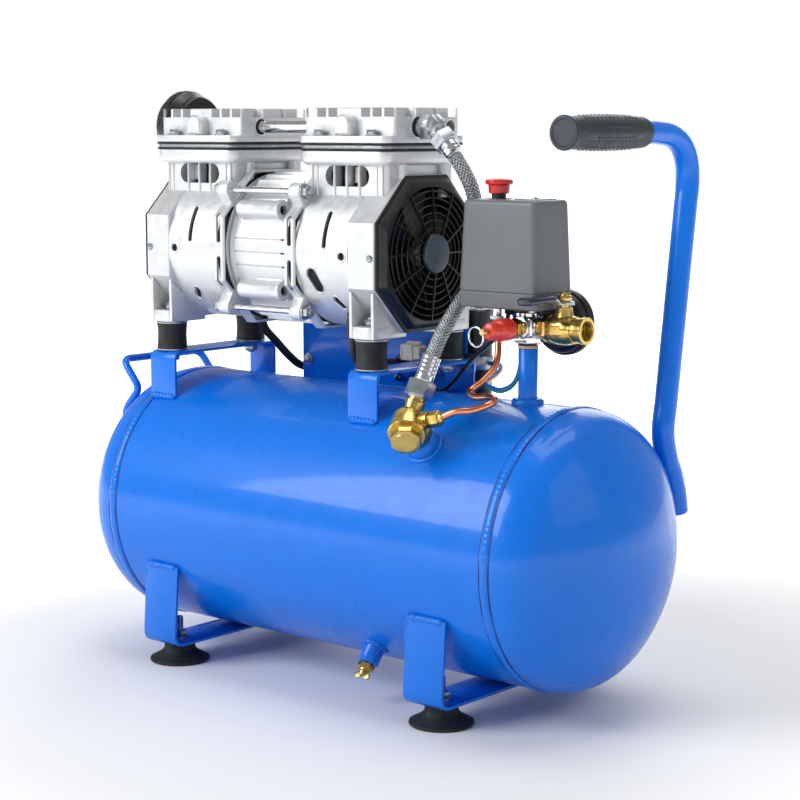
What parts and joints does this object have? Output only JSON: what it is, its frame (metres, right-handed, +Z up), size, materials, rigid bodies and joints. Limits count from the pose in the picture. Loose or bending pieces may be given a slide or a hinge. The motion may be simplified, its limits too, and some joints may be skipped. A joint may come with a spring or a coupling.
{
  "type": "air compressor",
  "caption": "Portable oil-free air compressor: twin-head pump on a horizontal tank with pressure switch, valves, gauge, feet and handles.",
  "frame": {"origin": "middle of the bounding box's floor, on the plane the feet stand on", "axes": "+Z up, +X along the tank toward the transport handle, -Y toward the check valve side"},
  "size_m": [0.6354, 0.294, 0.5718],
  "materials": {
    "tank_blue": "gloss royal blue enamel",
    "cast_alu": "bead-blasted die casting",
    "black_plastic": "moulded black plastic",
    "rubber": "black rubber",
    "zinc_steel": "bright zinc plate",
    "brass": "machined brass",
    "copper": "bent copper tube",
    "red_plastic": "moulded red plastic",
    "grey_plastic": "dark grey moulded cover",
    "gasket": "black gasket and plate",
    "braid": "stainless braid",
    "cable": "insulated wire"
  },
  "bodies": {
    "frame": {"tank_shell": "tank_blue", "dome_left": "tank_blue", "dome_right": "tank_blue", "leg_strap_left": "tank_blue", "leg_strap_right": "tank_blue", "saddle_left": "tank_blue", "saddle_right": "tank_blue", "handle_tube": "tank_blue", "carry_rod": "tank_blue", "control_box": "tank_blue", "foot_left_front": "rubber", "rubber_mount_left_front": "rubber", "foot_left_rear": "rubber", "rubber_mount_left_rear": "rubber", "crankcase_left": "cast_alu", "cylinder_head_left": "cast_alu", "valve_plate_left": "gasket", "fan_cover_left": "black_plastic", "foot_right_front": "rubber", "rubber_mount_right_front": "rubber", "foot_right_rear": "rubber", "rubber_mount_right_rear": "rubber", "crankcase_right": "cast_alu", "cylinder_head_right": "cast_alu", "valve_plate_right": "gasket", "fan_cover_right": "black_plastic", "tie_rod_front_lower": "zinc_steel", "tie_rod_front_upper": "zinc_steel", "tie_rod_rear_lower": "zinc_steel", "tie_rod_rear_upper": "zinc_steel", "motor_housing": "cast_alu", "crossover_tube": "zinc_steel", "intake_filter": "black_plastic", "outlet_elbow": "zinc_steel", "discharge_hose": "braid", "check_valve": "brass", "unloader_tube": "copper", "manifold": "zinc_steel", "switch_base": "grey_plastic", "switch_cover": "grey_plastic", "safety_valve": "red_plastic", "ball_valve_body": "brass", "gauge_case": "black_plastic", "drain_valve": "brass", "handle_grip": "rubber", "capacitor": "black_plastic", "motor_cable": "cable", "rear_cable": "cable", "wiring_harness": "cable"},
    "rotor": {"rotor_shaft": "zinc_steel", "fan_left": "black_plastic", "fan_right": "black_plastic"},
    "piston_left_body": {"piston_left": "cast_alu"},
    "piston_right_body": {"piston_right": "cast_alu"},
    "knob": {"switch_knob": "red_plastic"},
    "pull_pin": {"safety_pin": "brass"},
    "lever": {"valve_lever": "zinc_steel", "valve_ball": "brass"},
    "needle": {"gauge_needle": "zinc_steel"},
    "wing_screw": {"drain_screw": "brass"}
  },
  "joints": [
    {"name": "rotor_spin", "type": "hinge", "parent": "frame", "child": "rotor", "pos_m": [-0.088, -0.00623, 0.4165], "axis": [1, 0, 0], "continuous": true},
    {"name": "left_piston_stroke", "type": "slide", "parent": "frame", "child": "piston_left_body", "axis": [0, 0, 1], "range_m": [-0.01, 0.01]},
    {"name": "right_piston_stroke", "type": "slide", "parent": "frame", "child": "piston_right_body", "axis": [0, 0, 1], "range_m": [-0.01, 0.01]},
    {"name": "switch_knob_press", "type": "slide", "parent": "frame", "child": "knob", "axis": [0, 0, 1], "range_m": [-0.004, 0]},
    {"name": "safety_ring_pull", "type": "slide", "parent": "frame", "child": "pull_pin", "axis": [0, -1, 0], "range_m": [0, 0.003], "stiffness_N_per_m": 1500},
    {"name": "ball_valve_turn", "type": "hinge", "parent": "frame", "child": "lever", "pos_m": [0.227, -0.00623, 0.3545], "axis": [0, 0, 1], "range_deg": [0, 90]},
    {"name": "gauge_sweep", "type": "hinge", "parent": "frame", "child": "needle", "pos_m": [0.187, -0.00623, 0.3545], "axis": [0, -1, 0], "range_deg": [0, 270], "stiffness_Nm_per_rad": 0.0005},
    {"name": "drain_screw_turn", "type": "hinge", "parent": "frame", "child": "wing_screw", "pos_m": [0.071, -0.1035, 0.02949], "axis": [0, -0.6157, -0.788], "range_deg": [0, 360]}
  ]
}
